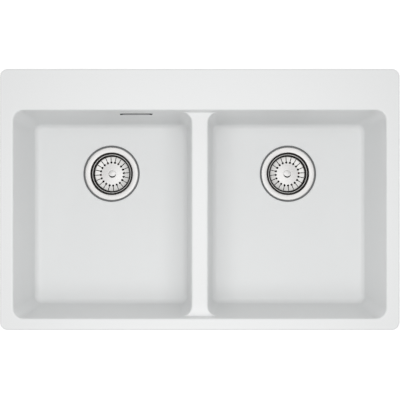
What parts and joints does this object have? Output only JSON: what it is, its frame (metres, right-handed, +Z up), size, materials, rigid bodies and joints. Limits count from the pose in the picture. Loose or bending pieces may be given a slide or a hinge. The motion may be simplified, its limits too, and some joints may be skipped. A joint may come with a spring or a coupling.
{
  "type": "double bowl kitchen sink",
  "caption": "Drop-in sink of moulded stone composite with two deep bowls, a tap ledge, a lowered divider, basket strainers, an overflow, waste pipes, a bottle trap and worktop clips.",
  "frame": {"origin": "centre of the worktop cut-out, level with the worktop's top face, which the rim's underside rests on", "axes": "+X to the right along the sink's length, +Y to the back, towards the tap ledge, +Z up"},
  "size_m": [0.78, 0.51, 0.5026],
  "materials": {
    "composite": "satin",
    "seal_foam": "matte",
    "polished_steel": "polished",
    "zinc_steel": "satin",
    "black_rubber": "matte",
    "black_plastic": "satin",
    "white_plastic": "satin",
    "grey_plastic": "satin"
  },
  "bodies": {
    "sink": {"basin": "composite", "rim_seal": "seal_foam", "strainer_cup_left": "polished_steel", "flange_seal_left": "black_rubber", "body_gasket_left": "black_rubber", "fixing_screw_left": "polished_steel", "waste_body_left": "white_plastic", "branch_pipe_left": "white_plastic", "strainer_cup_right": "polished_steel", "flange_seal_right": "black_rubber", "body_gasket_right": "black_rubber", "fixing_screw_right": "polished_steel", "waste_body_right": "white_plastic", "branch_pipe_right": "white_plastic", "waste_left_nut": "white_plastic", "waste_left_washer": "black_rubber", "waste_right_nut": "white_plastic", "waste_right_washer": "black_rubber", "tee_left_nut": "white_plastic", "tee_left_washer": "black_rubber", "tee_right_nut": "white_plastic", "tee_right_washer": "black_rubber", "trap_inlet_nut": "white_plastic", "trap_inlet_washer": "black_rubber", "trap_outlet_nut": "white_plastic", "trap_outlet_washer": "black_rubber", "tee": "white_plastic", "trap_body": "white_plastic", "outlet_pipe": "white_plastic", "overflow_cover": "grey_plastic", "overflow_screw": "polished_steel", "overflow_seal": "black_rubber", "overflow_housing": "black_plastic", "overflow_hose": "grey_plastic"},
    "basket_left": {"basket_left": "polished_steel", "basket_seal_left": "black_rubber", "basket_knob_left": "polished_steel", "basket_stem_left": "black_plastic"},
    "basket_right": {"basket_right": "polished_steel", "basket_seal_right": "black_rubber", "basket_knob_right": "polished_steel", "basket_stem_right": "black_plastic"},
    "trap_cup": {"trap_cup": "white_plastic", "trap_cup_seal": "black_rubber"},
    "clip_screw_front_left": {"clip_screw_front_left": "zinc_steel"},
    "clip_claw_front_left": {"clip_claw_front_left": "zinc_steel"},
    "clip_screw_front_middle": {"clip_screw_front_middle": "zinc_steel"},
    "clip_claw_front_middle": {"clip_claw_front_middle": "zinc_steel"},
    "clip_screw_front_right": {"clip_screw_front_right": "zinc_steel"},
    "clip_claw_front_right": {"clip_claw_front_right": "zinc_steel"},
    "clip_screw_side_left": {"clip_screw_side_left": "zinc_steel"},
    "clip_claw_side_left": {"clip_claw_side_left": "zinc_steel"},
    "clip_screw_side_right": {"clip_screw_side_right": "zinc_steel"},
    "clip_claw_side_right": {"clip_claw_side_right": "zinc_steel"},
    "clip_screw_back_left": {"clip_screw_back_left": "zinc_steel"},
    "clip_claw_back_left": {"clip_claw_back_left": "zinc_steel"},
    "clip_screw_back_right": {"clip_screw_back_right": "zinc_steel"},
    "clip_claw_back_right": {"clip_claw_back_right": "zinc_steel"}
  },
  "joints": [
    {"name": "basket_left_lift", "type": "slide", "parent": "sink", "child": "basket_left", "axis": [0, 0, 1], "range_m": [0, 0.25]},
    {"name": "basket_right_lift", "type": "slide", "parent": "sink", "child": "basket_right", "axis": [0, 0, 1], "range_m": [0, 0.25]},
    {"name": "trap_cup_removal", "type": "slide", "parent": "sink", "child": "trap_cup", "axis": [0, 0, -1], "range_m": [0, 0.06]},
    {"name": "clip_front_left_tighten", "type": "slide", "parent": "sink", "child": "clip_screw_front_left", "axis": [0, 0, 1], "range_m": [0, 0.014]},
    {"name": "clip_front_left_swing", "type": "hinge", "parent": "clip_screw_front_left", "child": "clip_claw_front_left", "pos_m": [-0.3695, -0.2353, -0.05], "axis": [0, 0, -1], "range_deg": [0, 90]},
    {"name": "clip_front_middle_tighten", "type": "slide", "parent": "sink", "child": "clip_screw_front_middle", "axis": [0, 0, 1], "range_m": [0, 0.014]},
    {"name": "clip_front_middle_swing", "type": "hinge", "parent": "clip_screw_front_middle", "child": "clip_claw_front_middle", "pos_m": [0, -0.237, -0.05], "axis": [0, 0, 1], "range_deg": [0, 90]},
    {"name": "clip_front_right_tighten", "type": "slide", "parent": "sink", "child": "clip_screw_front_right", "axis": [0, 0, 1], "range_m": [0, 0.014]},
    {"name": "clip_front_right_swing", "type": "hinge", "parent": "clip_screw_front_right", "child": "clip_claw_front_right", "pos_m": [0.3695, -0.2353, -0.05], "axis": [0, 0, 1], "range_deg": [0, 90]},
    {"name": "clip_side_left_tighten", "type": "slide", "parent": "sink", "child": "clip_screw_side_left", "axis": [0, 0, 1], "range_m": [0, 0.014]},
    {"name": "clip_side_left_swing", "type": "hinge", "parent": "clip_screw_side_left", "child": "clip_claw_side_left", "pos_m": [-0.372, 0.186, -0.05], "axis": [0, 0, -1], "range_deg": [0, 90]},
    {"name": "clip_side_right_tighten", "type": "slide", "parent": "sink", "child": "clip_screw_side_right", "axis": [0, 0, 1], "range_m": [0, 0.014]},
    {"name": "clip_side_right_swing", "type": "hinge", "parent": "clip_screw_side_right", "child": "clip_claw_side_right", "pos_m": [0.372, 0.186, -0.05], "axis": [0, 0, 1], "range_deg": [0, 90]},
    {"name": "clip_back_left_tighten", "type": "slide", "parent": "sink", "child": "clip_screw_back_left", "axis": [0, 0, 1], "range_m": [0, 0.014]},
    {"name": "clip_back_left_swing", "type": "hinge", "parent": "clip_screw_back_left", "child": "clip_claw_back_left", "pos_m": [-0.24, 0.237, -0.05], "axis": [0, 0, 1], "range_deg": [0, 90]},
    {"name": "clip_back_right_tighten", "type": "slide", "parent": "sink", "child": "clip_screw_back_right", "axis": [0, 0, 1], "range_m": [0, 0.014]},
    {"name": "clip_back_right_swing", "type": "hinge", "parent": "clip_screw_back_right", "child": "clip_claw_back_right", "pos_m": [0.24, 0.237, -0.05], "axis": [0, 0, -1], "range_deg": [0, 90]}
  ]
}
